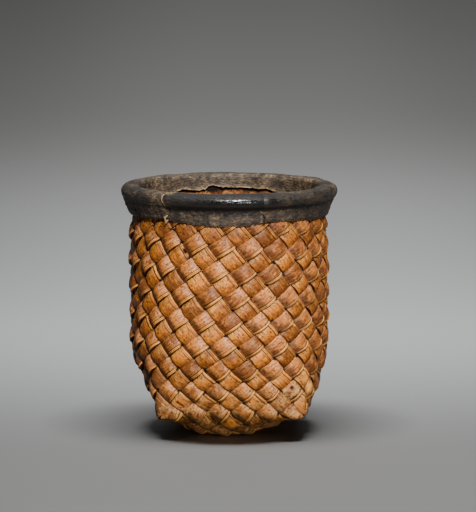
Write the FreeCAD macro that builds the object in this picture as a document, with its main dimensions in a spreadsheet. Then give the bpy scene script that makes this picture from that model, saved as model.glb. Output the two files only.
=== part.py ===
import FreeCAD, Part
import math
import os
import Sketcher

# Wedding basket, plaited over-one under-one from folded palm-leaf strips, with a
# rim of leather sewn over a wooden hoop.
# Millimetres, +Z up. The origin is on the ground under the middle of the base.
# The front of the basket faces -Y and its right side +X.

# Each row: name, value, what it measures
SIZES = (
    ("front_cells", 6, "plait cells along the front and back edges of the base"),
    ("side_cells", 5, "plait cells along the left and right edges of the base"),
    ("strip_thickness", 1.4, "one folded strip"),
    ("strip_gap", 0.15, "air between the two strips of a crossing"),
    ("strip_width_share", 0.85, "part of its plait cell that a strip fills"),
    ("base_half_width", 53.2, "middle of the base to its left and right edges"),
    ("base_half_depth", 50.0, "middle of the base to its front and back edges"),
    ("side_bow_share", 0.04, "how far the side edges draw in at the corners"),
    ("front_bow_share", 0.06, "how far the front edges draw in at the corners"),
    ("base_turn", -2.9, "degrees that the base is turned under the walls"),
    ("base_shift", 3.0, "axis to the middle of the base, to the right"),
    ("base_edge_height", 21.6, "ground to the edges and corners of the base"),
    ("foot_share", 0.32, "part of the base that lies flat on the ground"),
    ("bowl_power", 1.7, "how late the base curves up from its foot to its edges"),
    ("wall_radius", 66.7, "axis to the middle of the plaited wall"),
    ("mouth_inset", 0.9, "how much the wall draws in at the mouth"),
    ("draw_rows", 2.3, "rows from the start of the draw to the highest strip end"),
    ("round_rows", 2.5, "rows over which the square base becomes round"),
    ("round_power", 1.2, "how early the square base becomes round"),
    ("row_rise", 17.8, "height of one row of the plait"),
    ("row_squash", 8.6, "height that the rows near the base lose together"),
    ("squash_rows", 2.65, "rows over which they lose it"),
    ("row_tilt", 1.2, "drop of the right side and rise of the left, for each row"),
    ("level_rows", 3.0, "rows that stay level before the tilt starts"),
    ("row_twist", 4.0, "degrees that each row is turned on the row below it"),
    ("twist_rows", 1.8, "rows below the twist"),
    ("twist_ease_rows", 0.8, "rows over which the twist sets in"),
    ("strip_top", 170.8, "ground to the highest strip end, inside the rim"),
    ("hoop_bar_radius", 3.4, "half the thickness of the hoop's round bar"),
    ("hoop_drop", 0.95, "highest strip end down to the middle of the hoop's bar"),
    ("leather_thickness", 1.15, "one layer of the rim leather"),
    ("leather_gap", 0.25, "air between the leather and what it covers"),
    ("lap_gap", 0.15, "air between the two layers of leather in a lap"),
    ("inner_roll_radius", 3.2, "roundness of the rim towards the mouth"),
    ("front_skirt_drop", 16.25, "middle of the hoop down to the front leather's edge"),
    ("back_skirt_rise", 1.6, "front leather's edge up to the back leather's edge"),
    ("inner_skirt_drop", 13.05, "middle of the hoop down to the edges inside the mouth"),
    ("left_seam_angle", 235.0, "degrees from +X to the left end of the front leather"),
    ("right_seam_angle", 292.0, "degrees from +X to the right end of the front leather"),
    ("lap_angle", 4.0, "degrees that one leather laps over the other"),
    ("lap_root_angle", 1.4, "degrees of double leather where a lap starts"),
    ("seam_gap_angle", 0.3, "degrees between two ends of leather"),
    ("stitch_radius", 0.55, "half the thickness of the sewing thong in its holes"),
    ("stitch_bar_radius", 0.68, "half its thickness between the holes"),
    ("stitch_length", 3.2, "distance between the two holes of a stitch"),
    ("stitch_hole_gap", 0.1, "air around the thong in its holes"),
    ("stitch_rise", 4.2, "edge of the leather to the middle of a stitch"),
    ("normal_step", 0.05, "plait cells between the points that give a normal"),
    ("flat_limit", 0.000001, "how far out of one plane a flat face's corners may lie"),
)

document = FreeCAD.newDocument("wedding_basket")
sheet = document.addObject("Spreadsheet::Sheet", "Sizes")
for row_number, (name, value, meaning) in enumerate(SIZES, start=1):
    sheet.set(f"A{row_number}", str(value))
    sheet.setAlias(f"A{row_number}", name)
    sheet.set(f"B{row_number}", meaning)
document.recompute()


def size(name):
    """Value of one named size of the sheet."""
    return float(sheet.get(name))


def worked_out(formula):
    """Value of a formula of named sizes, in millimetres or degrees."""
    return float(sheet.evalExpression(formula))


# Plaited body
# The base is a mat of two crossing sets of strips, cut along its diagonals. Along
# and across are its two edge directions in plait cells, 0 to front_cells and 0 to
# side_cells. Past an edge the mat turns up into the wall, where "round" counts
# cells anticlockwise from the front left corner and "up" counts rows.

FRONT_CELLS = int(size("front_cells"))
SIDE_CELLS = int(size("side_cells"))
ROUND_CELLS = 2 * (FRONT_CELLS + SIDE_CELLS)
FACE_OFFSET = size("strip_thickness") + size("strip_gap") / 2
WALL_RISE = size("strip_top") - size("base_edge_height")
DRAW_START = (WALL_RISE + size("row_squash")) / size("row_rise") - size("draw_rows")


def turned(point, degrees):
    """Plan point turned about the basket's axis."""
    angle = math.radians(degrees)
    cosine, sine = math.cos(angle), math.sin(angle)
    return (point[0] * cosine - point[1] * sine, point[0] * sine + point[1] * cosine)


def base_plan(right, back):
    """Plan point of the base, where right and back run from -1 to 1."""
    x = size("base_half_width") * right * (1 - size("side_bow_share") * back**2)
    y = size("base_half_depth") * back * (1 - size("front_bow_share") * right**2)
    x, y = turned((x, y), size("base_turn"))
    return x + size("base_shift"), y


def lift_share(reach):
    """0 on the foot of the base and 1 at its edge, where reach is 1."""
    beyond_foot = max(0, abs(reach) - size("foot_share")) / (1 - size("foot_share"))
    return beyond_foot ** size("bowl_power")


def base_point(along, across):
    """Point of the base: a flat foot that curves up to the edges."""
    right = 2 * along / FRONT_CELLS - 1
    back = 2 * across / SIDE_CELLS - 1
    sideways, lengthways = lift_share(right), lift_share(back)
    below = (1 - sideways) * (1 - lengthways)
    lift = 1 - below / (1 - sideways * lengthways) if below else 1
    x, y = base_plan(right, back)
    height = FACE_OFFSET + (size("base_edge_height") - FACE_OFFSET) * lift
    return FreeCAD.Vector(x, y, height)


def base_outline(round_place):
    """Plan point of the base's edge, counted in cells round the basket."""
    place = round_place % ROUND_CELLS
    if place <= FRONT_CELLS:
        return base_plan(2 * place / FRONT_CELLS - 1, -1)
    place -= FRONT_CELLS
    if place <= SIDE_CELLS:
        return base_plan(1, 2 * place / SIDE_CELLS - 1)
    place -= SIDE_CELLS
    if place <= FRONT_CELLS:
        return base_plan(1 - 2 * place / FRONT_CELLS, 1)
    place -= FRONT_CELLS
    return base_plan(-1, 1 - 2 * place / SIDE_CELLS)


def twist_at(row):
    """Degrees that the plait is turned at a row: none near the base, then steady."""
    def eased(rows):
        return (math.hypot(rows, size("twist_ease_rows")) + rows) / 2
    return size("row_twist") * (eased(row - size("twist_rows")) - eased(-size("twist_rows")))


def wall_point(round_place, row):
    """Point of the wall: square at the base, round above it, drawn in at the mouth."""
    share = max(0, 1 - row / size("round_rows"))
    roundness = 1 - share ** size("round_power")
    drawn = min(1, max(0, row - DRAW_START))
    radius = size("wall_radius") - size("mouth_inset") * (1 - math.cos(math.pi * drawn)) / 2
    from_front = (round_place - FRONT_CELLS / 2) * 360 / ROUND_CELLS + twist_at(row)
    circle = turned((0, -radius), from_front)
    outline = base_outline(round_place)
    x = outline[0] + (circle[0] - outline[0]) * roundness
    y = outline[1] + (circle[1] - outline[1]) * roundness
    squash = size("row_squash") * (1 - math.exp(-row / size("squash_rows")))
    tilt = size("row_tilt") * max(0, row - size("level_rows")) * math.sin(math.radians(from_front))
    height = size("base_edge_height") + size("row_rise") * row - squash - tilt
    return FreeCAD.Vector(x, y, height)


def plait_point(first, second, wall):
    """Point of the plait's middle surface at mat coordinates first and second.

    The warp strips run along first and the weft strips along second. wall is the
    wall that this end of the strip climbs, as its edge of the base.
    """
    along = (first - second) / 2
    across = (first + second) / 2
    if wall == "front" and across < 0:
        return wall_point(along, -across)
    if wall == "right" and along > FRONT_CELLS:
        return wall_point(FRONT_CELLS + across, along - FRONT_CELLS)
    if wall == "back" and across > SIDE_CELLS:
        return wall_point(FRONT_CELLS + ROUND_CELLS / 2 - along, across - SIDE_CELLS)
    if wall == "left" and along < 0:
        return wall_point(-across, -along)
    return base_point(along, across)


def outward_normal(first, second, wall):
    """Unit normal of the plait's middle surface, away from the inside."""
    step = size("normal_step")
    ahead = plait_point(first + step, second, wall) - plait_point(first - step, second, wall)
    aside = plait_point(first, second + step, wall) - plait_point(first, second - step, wall)
    return aside.cross(ahead).normalize()


def strip_section(edges, is_outer, wall, is_end):
    """Four corners of the section across a strip, through its two edge places."""
    points = [plait_point(first, second, wall) for first, second in edges]
    normals = [outward_normal(first, second, wall) for first, second in edges]
    if is_end:
        middle = (normals[0] + normals[1]).normalize()
        normals = [middle, middle]
    near = size("strip_gap") / 2
    if not is_outer:
        near = -FACE_OFFSET
    far = near + size("strip_thickness")
    return [points[0] + normals[0] * near, points[1] + normals[1] * near,
            points[1] + normals[1] * far, points[0] + normals[0] * far]


def strip_place(strip_number, cell_number, is_warp, ahead=0, aside=0):
    """Mat coordinates near the middle of one crossing of a strip."""
    along_strip = cell_number + 0.5 + ahead
    across_strip = strip_number + 0.5 + aside
    return (along_strip, across_strip) if is_warp else (across_strip, along_strip)


def end_walls(strip_number, is_warp):
    """Walls that the two ends of a strip climb."""
    middle = strip_number + 0.5
    if is_warp:
        first_wall = "front" if middle < 0 else "left"
        last_wall = "right" if middle < SIDE_CELLS - FRONT_CELLS else "back"
    else:
        first_wall = "front" if middle < FRONT_CELLS else "right"
        last_wall = "left" if middle < SIDE_CELLS else "back"
    return first_wall, last_wall


def cells_to_top(strip_number, is_warp, start_cell, step, wall):
    """Crossings of a strip from one on the base up to the rim."""
    half_width = size("strip_width_share") / 2
    cells = []
    cell = start_cell
    while True:
        tips = [strip_place(strip_number, cell, is_warp, step * half_width, side)
                for side in (-half_width, half_width)]
        if max(plait_point(*tip, wall).z for tip in tips) > size("strip_top"):
            return cells
        cells.append(cell)
        cell += step


def base_crossing(strip_number, is_warp):
    """The crossing of a strip that is nearest to the middle of its stretch of base."""
    middle = strip_number + 0.5
    if is_warp:
        ends = abs(middle), min(middle + 2 * FRONT_CELLS, 2 * SIDE_CELLS - middle)
    else:
        ends = max(-middle, middle - 2 * FRONT_CELLS), min(middle, 2 * SIDE_CELLS - middle)
    return math.floor((sum(ends) - 1) / 2)


def strip_sections(strip_number, is_warp):
    """Sections of one strip, two for each crossing, from its first end to its last."""
    first_wall, last_wall = end_walls(strip_number, is_warp)
    start_cell = base_crossing(strip_number, is_warp)
    first_cells = cells_to_top(strip_number, is_warp, start_cell, -1, first_wall)
    last_cells = cells_to_top(strip_number, is_warp, start_cell + 1, 1, last_wall)
    cells = first_cells[::-1] + last_cells
    half_width = size("strip_width_share") / 2
    sections = []
    for cell in cells:
        wall = first_wall if cell <= start_cell else last_wall
        warp_is_outer = (strip_number + cell) % 2 == 0
        for ahead in (-half_width, half_width):
            edges = [strip_place(strip_number, cell, is_warp, ahead, side)
                     for side in (-half_width, half_width)]
            is_end = (cell == cells[0] and ahead < 0) or (cell == cells[-1] and ahead > 0)
            sections.append(strip_section(edges, warp_is_outer == is_warp, wall, is_end))
    return sections


def side_face(here, there):
    """Face between two edges: flat if all four ends lie in one plane, or else ruled."""
    normal = (here[1] - here[0]).cross(there[0] - here[0]).normalize()
    if abs(normal.dot(there[1] - here[0])) < size("flat_limit"):
        return Part.Face(Part.makePolygon([*here, *there[::-1], here[0]]))
    return Part.makeRuledSurface(Part.makeLine(*here), Part.makeLine(*there))


def skinned_solid(sections):
    """Solid between four-cornered sections: one face along each side of each."""
    faces = []
    for here, there in zip(sections, sections[1:]):
        for corner in range(len(here)):
            edges = [(ring[corner - 1], ring[corner]) for ring in (here, there)]
            faces.append(side_face(*edges))
    for end in (sections[0], sections[-1]):
        faces.append(Part.Face(Part.makePolygon(end + end[:1])))
    shell = Part.makeShell(faces)
    shell.sewShape()
    return Part.makeSolid(shell)


def make_strip(name, strip_number, is_warp):
    """One strip: up a wall, down another, over and under the ones it crosses."""
    strip = document.addObject("Part::Feature", name)
    strip.Label = name
    strip.Shape = skinned_solid(strip_sections(strip_number, is_warp))
    strip.Placement = FreeCAD.Placement()
    return strip


def make_plait():
    """All warp and weft strips, numbered from the left of the base."""
    strips = []
    for number in range(FRONT_CELLS + SIDE_CELLS):
        strips.append(make_strip(f"warp_strip_{number + 1:02d}", number - FRONT_CELLS, True))
    for number in range(FRONT_CELLS + SIDE_CELLS):
        strips.append(make_strip(f"weft_strip_{number + 1:02d}", number, False))
    return strips


# Rim
# The hoop lies outside the wall's top edge. The leather goes over both: a skirt
# outside that leans out to the hoop, a round roll, and a skirt inside the mouth.

MOUTH_RADIUS = "(Sizes.wall_radius - Sizes.mouth_inset)"
WALL_FACE = "(Sizes.strip_thickness + Sizes.strip_gap / 2)"
SEAT_RADIUS = f"({MOUTH_RADIUS} + {WALL_FACE} + Sizes.leather_gap)"
HOOP_RADIUS = f"({SEAT_RADIUS} + Sizes.hoop_bar_radius)"
CORE_RADIUS = "(Sizes.hoop_bar_radius + Sizes.leather_gap)"
HOOP_HEIGHT = "(Sizes.strip_top - Sizes.hoop_drop)"
ROLL_TOP = f"({HOOP_HEIGHT} + {CORE_RADIUS} + Sizes.leather_thickness)"
CELL_SAG = f"({MOUTH_RADIUS} * (1 - cos(180 * Sizes.strip_width_share / {ROUND_CELLS})) / 2)"
INNER_RADIUS = (f"({MOUTH_RADIUS} - {WALL_FACE} - {CELL_SAG} - Sizes.leather_gap"
                " - Sizes.leather_thickness)")
LAP_BACK = "(Sizes.leather_thickness + Sizes.lap_gap)"
LAP_FACE = f"({LAP_BACK} + Sizes.leather_thickness)"
STITCH_LIFT = "(Sizes.stitch_hole_gap + Sizes.stitch_bar_radius)"
HALF_SEAM = "Sizes.seam_gap_angle / 2"

# The outer skirt leans along the tangent from its seat on the wall to the hoop's cover
SKIRT_OUT = f"({HOOP_RADIUS} - {SEAT_RADIUS})"
SKIRT_LEAN = (f"(atan({SKIRT_OUT} / Sizes.front_skirt_drop)"
              f" + asin({CORE_RADIUS} / hypot({SKIRT_OUT}; Sizes.front_skirt_drop)))")
FRONT_SKIRT = f"({HOOP_HEIGHT} - Sizes.front_skirt_drop)"
BACK_SKIRT = f"({FRONT_SKIRT} + Sizes.back_skirt_rise)"
INNER_SKIRT = f"({HOOP_HEIGHT} - Sizes.inner_skirt_drop)"


def named(sketch, name, formula, *constraint):
    """Adds a dimension to a sketch and binds it to a formula of named sizes."""
    value = worked_out(formula)
    if constraint[0] == "Angle":
        value = math.radians(value)
    index = sketch.addConstraint(Sketcher.Constraint(*constraint, value))
    sketch.renameConstraint(index, name)
    sketch.setExpression(f"Constraints.{name}", formula)


def skirt_directions():
    """Directions square to the outer skirt, outwards, and down along it, in section."""
    lean = math.radians(worked_out(SKIRT_LEAN))
    outwards = FreeCAD.Vector(math.cos(lean), -math.sin(lean), 0)
    downwards = FreeCAD.Vector(-math.sin(lean), -math.cos(lean), 0)
    return outwards, downwards


def skirt_foot(skirt_height):
    """Lower end of the outer skirt's inner face, in section."""
    outwards, downwards = skirt_directions()
    hoop = FreeCAD.Vector(worked_out(HOOP_RADIUS), worked_out(HOOP_HEIGHT), 0)
    tangent = hoop + outwards * worked_out(CORE_RADIUS)
    return tangent + downwards * ((worked_out(skirt_height) - tangent.y) / downwards.y)


def draw_contour(sketch, side, depth, skirt_height):
    """One face of the leather in section, at a depth outside its inner face.

    Returns the numbers of its edges from the outer skirt to the inner one.
    """
    outer_round = f"({CORE_RADIUS} + {depth})"
    inner_round = f"(Sizes.inner_roll_radius - Sizes.leather_thickness + {depth})"
    roll_middle = f"({INNER_RADIUS} + Sizes.inner_roll_radius)"
    outer_value, inner_value = worked_out(outer_round), worked_out(inner_round)
    hoop = FreeCAD.Vector(worked_out(HOOP_RADIUS), worked_out(HOOP_HEIGHT), 0)
    roll_height = worked_out(f"{ROLL_TOP} - Sizes.inner_roll_radius")
    roll = FreeCAD.Vector(worked_out(roll_middle), roll_height, 0)
    up, inwards, axis = FreeCAD.Vector(0, 1, 0), FreeCAD.Vector(-1, 0, 0), FreeCAD.Vector(0, 0, 1)
    outwards = skirt_directions()[0]
    lean = math.radians(worked_out(SKIRT_LEAN))
    inner_top = roll + inwards * inner_value
    inner_foot = FreeCAD.Vector(inner_top.x, worked_out(INNER_SKIRT), 0)
    edges = sketch.addGeometry([
        Part.LineSegment(skirt_foot(skirt_height) + outwards * worked_out(depth),
                         hoop + outwards * outer_value),
        Part.ArcOfCircle(Part.Circle(hoop, axis, outer_value), -lean, math.pi / 2),
        Part.LineSegment(hoop + up * outer_value, roll + up * inner_value),
        Part.ArcOfCircle(Part.Circle(roll, axis, inner_value), math.pi / 2, math.pi),
        Part.LineSegment(inner_top, inner_foot),
    ], False)
    skirt, hoop_arc, top, mouth_arc, inner = edges
    sketch.addConstraint([
        Sketcher.Constraint("Tangent", skirt, 2, hoop_arc, 1),
        Sketcher.Constraint("Tangent", hoop_arc, 2, top, 1),
        Sketcher.Constraint("Tangent", top, 2, mouth_arc, 1),
        Sketcher.Constraint("Tangent", mouth_arc, 2, inner, 1),
        Sketcher.Constraint("Vertical", inner),
    ])
    named(sketch, f"{side}_hoop_x", HOOP_RADIUS, "DistanceX", -1, 1, hoop_arc, 3)
    named(sketch, f"{side}_hoop_z", HOOP_HEIGHT, "DistanceY", -1, 1, hoop_arc, 3)
    named(sketch, f"{side}_hoop_round", outer_round, "Radius", hoop_arc)
    named(sketch, f"{side}_mouth_x", roll_middle, "DistanceX", -1, 1, mouth_arc, 3)
    named(sketch, f"{side}_mouth_round", inner_round, "Radius", mouth_arc)
    named(sketch, f"{side}_inner_edge", INNER_SKIRT, "DistanceY", -1, 1, inner, 2)
    named(sketch, f"{side}_lean", f"90 deg - {SKIRT_LEAN}", "Angle", skirt)
    return edges


def add_sector(body, name, near, far, skirt_height, start, sweep):
    """Turns the section between two depths of leather through an angle."""
    sketch = body.newObject("Sketcher::SketchObject", f"{name}_section")
    plane = [item for item in body.Origin.OriginFeatures if item.Role == "XZ_Plane"][0]
    sketch.AttachmentSupport = [(plane, "")]
    sketch.MapMode = "FlatFace"
    start_angle = worked_out(start)
    turn = FreeCAD.Rotation(FreeCAD.Vector(0, 1, 0), start_angle)
    sketch.AttachmentOffset = FreeCAD.Placement(FreeCAD.Vector(), turn)
    sketch.setExpression("AttachmentOffset.Rotation.Angle", start)
    near_edges = draw_contour(sketch, "near", near, skirt_height)
    far_edges = draw_contour(sketch, "far", far, skirt_height)
    skirt_ends = [sketch.getPoint(near_edges[0], 1), sketch.getPoint(far_edges[0], 1)]
    inner_ends = [sketch.getPoint(near_edges[-1], 2), sketch.getPoint(far_edges[-1], 2)]
    skirt_cap, inner_cap = sketch.addGeometry([Part.LineSegment(*skirt_ends),
                                               Part.LineSegment(*inner_ends)], False)
    sketch.addConstraint([
        Sketcher.Constraint("Coincident", skirt_cap, 1, near_edges[0], 1),
        Sketcher.Constraint("Coincident", skirt_cap, 2, far_edges[0], 1),
        Sketcher.Constraint("Coincident", inner_cap, 1, near_edges[-1], 2),
        Sketcher.Constraint("Coincident", inner_cap, 2, far_edges[-1], 2),
        Sketcher.Constraint("Perpendicular", skirt_cap, near_edges[0]),
    ])
    edge_height = f"{skirt_height} - {near} * sin({SKIRT_LEAN})"
    named(sketch, "skirt_edge", edge_height, "DistanceY", -1, 1, near_edges[0], 1)
    document.recompute()
    sector = body.newObject("PartDesign::Revolution", name)
    sector.Profile = sketch
    sector.ReferenceAxis = (sketch, ["V_Axis"])
    sector.setExpression("Angle", sweep)
    document.recompute()
    return sector


def make_leather(name, skirt_height, start, end):
    """One length of the rim leather, whose start laps over the other's end."""
    body = document.addObject("PartDesign::Body", f"{name}_body")
    lap_start = f"{start} - Sizes.lap_angle + {HALF_SEAM}"
    lap_sweep = "Sizes.lap_angle + Sizes.lap_root_angle"
    add_sector(body, f"{name}_length", "0", "Sizes.leather_thickness", skirt_height,
               f"{start} + {HALF_SEAM}", f"{end} - {start} - Sizes.seam_gap_angle")
    add_sector(body, f"{name}_lap_root", "0", LAP_FACE, skirt_height,
               f"{start} + {HALF_SEAM}", "Sizes.lap_root_angle")
    add_sector(body, f"{name}_lap", LAP_BACK, LAP_FACE, skirt_height, lap_start, lap_sweep)
    return body


def stitch_frame(seam, skirt_height):
    """Place of a stitch: the middle of the lap, with Z along its legs, outwards."""
    outwards, downwards = skirt_directions()
    place = (skirt_foot(skirt_height) + outwards * worked_out(LAP_FACE)
             - downwards * size("stitch_rise"))
    angle = worked_out(f"{seam} - Sizes.lap_angle / 2")
    turn = FreeCAD.Rotation(FreeCAD.Vector(0, 0, 1), angle)
    tip = FreeCAD.Rotation(FreeCAD.Vector(0, 1, 0), 90 + worked_out(SKIRT_LEAN))
    return FreeCAD.Placement(turn.multVec(FreeCAD.Vector(place.x, 0, place.y)), turn * tip)


def make_legs(name, gap, frame):
    """Two legs of a stitch, through both layers of a lap, or with a gap their holes."""
    legs = []
    for side, share in (("upper", -0.5), ("lower", 0.5)):
        leg = document.addObject("Part::Cylinder", f"{name}_{side}")
        leg.setExpression("Radius", f"Sizes.stitch_radius + {gap}")
        leg.setExpression("Height", f"{LAP_FACE} + {STITCH_LIFT} + {gap}")
        depth = worked_out(f"{LAP_FACE} + {gap}")
        offset = FreeCAD.Vector(share * size("stitch_length"), 0, -depth)
        leg.Placement = frame * FreeCAD.Placement(offset, FreeCAD.Rotation())
        legs.append(leg)
    return legs


def make_stitch(name, frame):
    """Sewing thong of one lap: two legs and the bar that shows between them."""
    bar = document.addObject("Part::Cylinder", f"{name}_bar")
    bar.setExpression("Radius", "Sizes.stitch_bar_radius")
    bar.setExpression("Height", "Sizes.stitch_length + 2 * Sizes.stitch_bar_radius")
    reach = worked_out("Sizes.stitch_length / 2 + Sizes.stitch_bar_radius")
    offset = FreeCAD.Vector(-reach, 0, worked_out(STITCH_LIFT))
    along = FreeCAD.Rotation(FreeCAD.Vector(0, 1, 0), 90)
    bar.Placement = frame * FreeCAD.Placement(offset, along)
    stitch = document.addObject("Part::MultiFuse", name)
    stitch.Shapes = [bar] + make_legs(f"{name}_leg", "0", frame)
    stitch.Label = name
    return stitch


def make_hoop():
    """Round bar bent to a closed ring, outside the top edge of the wall."""
    hoop = document.addObject("Part::Torus", "rim_hoop")
    hoop.Label = "rim_hoop"
    hoop.setExpression("Radius1", HOOP_RADIUS)
    hoop.setExpression("Radius2", "Sizes.hoop_bar_radius")
    hoop.setExpression("Placement.Base.z", HOOP_HEIGHT)
    return hoop


def make_rim():
    """Hoop, the two lengths of leather and the stitches of their laps."""
    left, right = "Sizes.left_seam_angle", "Sizes.right_seam_angle"
    lengths = {
        "rim_leather_front": make_leather("rim_leather_front", FRONT_SKIRT, left, right),
        "rim_leather_back": make_leather("rim_leather_back", BACK_SKIRT, right,
                                         f"({left} + 360)"),
    }
    frames = {
        "left": stitch_frame(left, FRONT_SKIRT),
        "right": stitch_frame(right, BACK_SKIRT),
    }
    pieces = [make_hoop()]
    for name, body in lengths.items():
        holes = document.addObject("Part::MultiFuse", f"{name}_holes")
        legs = []
        for side, frame in frames.items():
            legs += make_legs(f"{name}_{side}_hole", "Sizes.stitch_hole_gap", frame)
        holes.Shapes = legs
        leather = document.addObject("Part::Cut", name)
        leather.Base = body
        leather.Tool = holes
        leather.Label = name
        pieces.append(leather)
    for side, frame in frames.items():
        pieces.append(make_stitch(f"lap_stitch_{side}", frame))
    return pieces


def check_and_write(pieces):
    """Stops at a failed object or shape, then writes one file for each piece."""
    document.recompute()
    for item in document.Objects:
        if "Invalid" in item.State or "Error" in item.State:
            raise RuntimeError(f"{item.Name} failed: {item.State}")
    for piece in pieces:
        if piece.Shape.isNull() or not piece.Shape.isValid():
            raise RuntimeError(f"{piece.Label} has no valid shape")
    os.makedirs("parts", exist_ok=True)
    for piece in pieces:
        piece.Shape.exportStep(f"parts/{piece.Label}.step")
        box = piece.Shape.BoundBox
        print(f"{piece.Label}: {len(piece.Shape.Solids)} solid, "
              f"{piece.Shape.Volume:.1f} mm3, height {box.ZMin:.2f} to {box.ZMax:.2f}")


check_and_write(make_plait() + make_rim())
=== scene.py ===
"""The looks of a plaited wedding basket with a leather-bound rim.

Everything is in metres in the CAD model's frame: +Z up, the origin on the ground under
the middle of the base, and the front of the basket towards -Y.
"""

import logging
import math
from dataclasses import dataclass, field
from enum import Enum
from typing import Dict, List, Optional, Sequence, Tuple

import bpy
import numpy as np
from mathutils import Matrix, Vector


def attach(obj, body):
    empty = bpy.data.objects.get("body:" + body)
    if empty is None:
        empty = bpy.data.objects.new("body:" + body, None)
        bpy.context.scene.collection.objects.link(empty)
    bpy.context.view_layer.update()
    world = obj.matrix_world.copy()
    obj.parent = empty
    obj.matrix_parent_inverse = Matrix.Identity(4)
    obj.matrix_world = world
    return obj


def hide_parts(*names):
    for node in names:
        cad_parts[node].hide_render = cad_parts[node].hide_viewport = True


LOG = logging.getLogger("wedding_basket")
MM = 0.001
Array = np.ndarray
Colour = Tuple[float, float, float, float]


# Helpers for numbers


def smooth(value: Array, low: float, high: float) -> Array:
    """Smoothstep: 0 below low, 1 above high, and 3t^2 - 2t^3 between them.

    Args:
        value: numbers to grade.
        low: where the step starts. It may be above high for a falling step.
        high: where the step ends.

    Returns:
        Numbers from 0 to 1.
    """
    t = np.clip((np.asarray(value, float) - low) / (high - low), 0, 1)
    return t * t * (3 - 2 * t)


def lattice_noise(across: Array, along: Array, seed: int) -> Array:
    """Smooth noise from -1 to 1: random numbers on a unit lattice, blended smoothly.

    Args:
        across: first coordinate, in lattice cells.
        along: second coordinate, in lattice cells.
        seed: picks one of many patterns.

    Returns:
        Noise of the same shape as the coordinates.
    """
    across, along = np.broadcast_arrays(np.asarray(across, float), np.asarray(along, float))
    table = np.random.default_rng(seed).uniform(-1, 1, (64, 64))
    cell_a, cell_b = np.floor(across).astype(int), np.floor(along).astype(int)
    part_a, part_b = smooth(across - cell_a, 0, 1), smooth(along - cell_b, 0, 1)
    value = np.zeros(across.shape)
    for step_a, weight_a in ((0, 1 - part_a), (1, part_a)):
        for step_b, weight_b in ((0, 1 - part_b), (1, part_b)):
            corner = table[(cell_a + step_a) % 64, (cell_b + step_b) % 64]
            value += weight_a * weight_b * corner
    return value


def srgb(hex_colour: str) -> Colour:
    """Linear colour of an sRGB hex value.

    Args:
        hex_colour: six hex digits after a hash sign.

    Returns:
        Red, green, blue and an alpha of 1.
    """
    parts = [int(hex_colour[k:k + 2], 16) / 255 for k in (1, 3, 5)]
    linear = [c / 12.92 if c <= 0.04045 else ((c + 0.055) / 1.055) ** 2.4 for c in parts]
    return (linear[0], linear[1], linear[2], 1.0)


# Helpers for meshes


def sleeve_mesh(name: str, rings: Array, places: Array, marks: Dict[str, Array]) -> bpy.types.Object:
    """Closed skin over a row of rings, with a flat face at each end.

    Args:
        name: name of the object and its mesh.
        rings: points in metres, ring by ring: (rings, points round, 3). The points run
            anticlockwise seen from the last ring towards the first.
        places: each point's place on the unrolled skin, in metres: (rings, points, 2).
        marks: named numbers from 0 to 1 for each point, which the finish reads.

    Returns:
        The new object, in the scene.
    """
    count, around = rings.shape[:2]
    index = np.arange(count * around).reshape(count, around)
    here, there = index[:-1], index[1:]
    quads = np.stack([here, np.roll(here, -1, 1), np.roll(there, -1, 1), there], -1).reshape(-1, 4)
    ends = np.concatenate([index[0][::-1], index[-1]])
    corners = np.concatenate([quads.ravel(), ends]).astype(np.int32)
    starts = np.concatenate([np.arange(len(quads)) * 4, len(quads) * 4 + np.array([0, around])])
    mesh = bpy.data.meshes.new(name)
    mesh.vertices.add(count * around)
    mesh.vertices.foreach_set("co", rings.astype(np.float32).ravel())
    mesh.loops.add(len(corners))
    mesh.loops.foreach_set("vertex_index", corners)
    mesh.polygons.add(len(starts))
    mesh.polygons.foreach_set("loop_start", starts.astype(np.int32))
    mesh.update(calc_edges=True)
    mesh.validate()
    unrolled = mesh.uv_layers.new(name="unrolled")
    unrolled.data.foreach_set("uv", places.reshape(-1, 2)[corners].astype(np.float32).ravel())
    for mark, values in marks.items():
        layer = mesh.attributes.new(mark, "FLOAT", "POINT")
        layer.data.foreach_set("value", values.astype(np.float32).ravel())
    mesh.polygons.foreach_set("use_smooth", np.ones(len(mesh.polygons), bool))
    piece = bpy.data.objects.new(name, mesh)
    bpy.context.scene.collection.objects.link(piece)
    return piece


def dress(piece: bpy.types.Object, material: bpy.types.Material,
          nodes: Sequence[str] = ()) -> bpy.types.Object:
    """Gives a piece its finish and ties it to the frame.

    Args:
        piece: the new piece.
        material: its finish.
        nodes: CAD nodes that it stands for.

    Returns:
        The same piece.
    """
    piece.data.materials.clear()
    piece.data.materials.append(material)
    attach(piece, "root")
    if nodes:
        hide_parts(*nodes)
    LOG.info("%s: %d vertices", piece.name, len(piece.data.vertices))
    return piece


# Helpers for materials


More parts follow.
